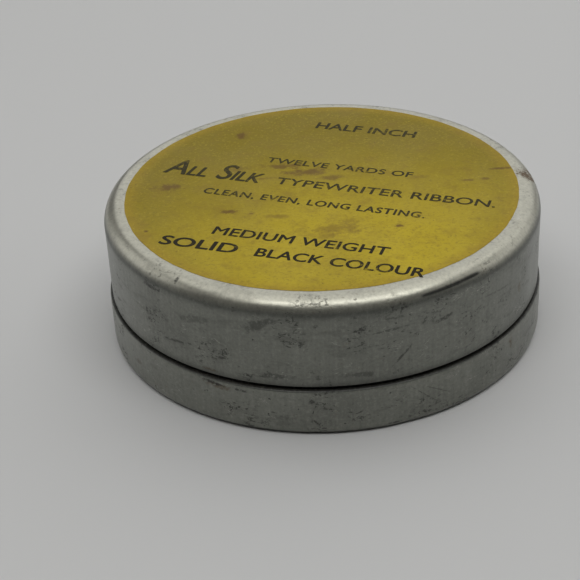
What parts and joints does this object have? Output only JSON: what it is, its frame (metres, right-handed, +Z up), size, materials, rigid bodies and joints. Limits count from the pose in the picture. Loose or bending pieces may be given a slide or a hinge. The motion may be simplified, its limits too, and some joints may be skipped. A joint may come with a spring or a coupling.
{
  "type": "typewriter ribbon tin",
  "caption": "Round slip-lid tinplate box, flat-topped and shallow, holding a flanged metal spool of inked half-inch ribbon between card discs.",
  "frame": {"origin": "centre of the tin's underside, on the surface it stands on", "axes": "+Z up along the tin's axis, -Y towards the front from which the lid's print is read, +X to its right"},
  "size_m": [0.0642, 0.0642, 0.0206],
  "materials": {
    "tinplate": "aged dull tinplate, scuffed, with a matt yellow printed panel on the lid",
    "print_yellow": "matt ochre-yellow litho print, stained and scuffed",
    "print_ink": "matt black printing ink, worn",
    "spool_steel": "plain pressed steel, satin",
    "brass": "plain brass, slightly tarnished",
    "waxed_card": "waxed buff card",
    "inked_fabric": "fine woven ribbon, soaked in black ink"
  },
  "bodies": {
    "base": {"base": "tinplate"},
    "lid": {"lid": "tinplate"},
    "lower_liner": {"lower_liner": "waxed_card"},
    "spool": {"lower_flange": "spool_steel", "upper_flange": "spool_steel", "spool_core": "spool_steel", "spindle_bush": "spool_steel", "ribbon_pin": "spool_steel", "ribbon_pack": "inked_fabric", "ribbon_tail": "inked_fabric", "tail_eyelet": "brass", "tail_clip": "spool_steel"},
    "upper_liner": {"upper_liner": "waxed_card"}
  },
  "joints": [
    {"name": "lid_lift", "type": "slide", "parent": "base", "child": "lid", "axis": [0, 0, 1], "range_m": [0, 0.06]},
    {"name": "lower_liner_lift", "type": "slide", "parent": "base", "child": "lower_liner", "axis": [0, 0, 1], "range_m": [0, 0.024]},
    {"name": "upper_liner_lift", "type": "slide", "parent": "base", "child": "upper_liner", "axis": [0, 0, 1], "range_m": [0, 0.039]},
    {"name": "spool_spin", "type": "hinge", "parent": "lower_liner", "child": "spool", "pos_m": [0, 0, 0.009], "axis": [0, 0, 1], "continuous": true}
  ],
  "couplings": [
    {"joint": "lower_liner_lift", "follows": "lid_lift", "ratio": 0.4},
    {"joint": "upper_liner_lift", "follows": "lid_lift", "ratio": 0.65}
  ]
}
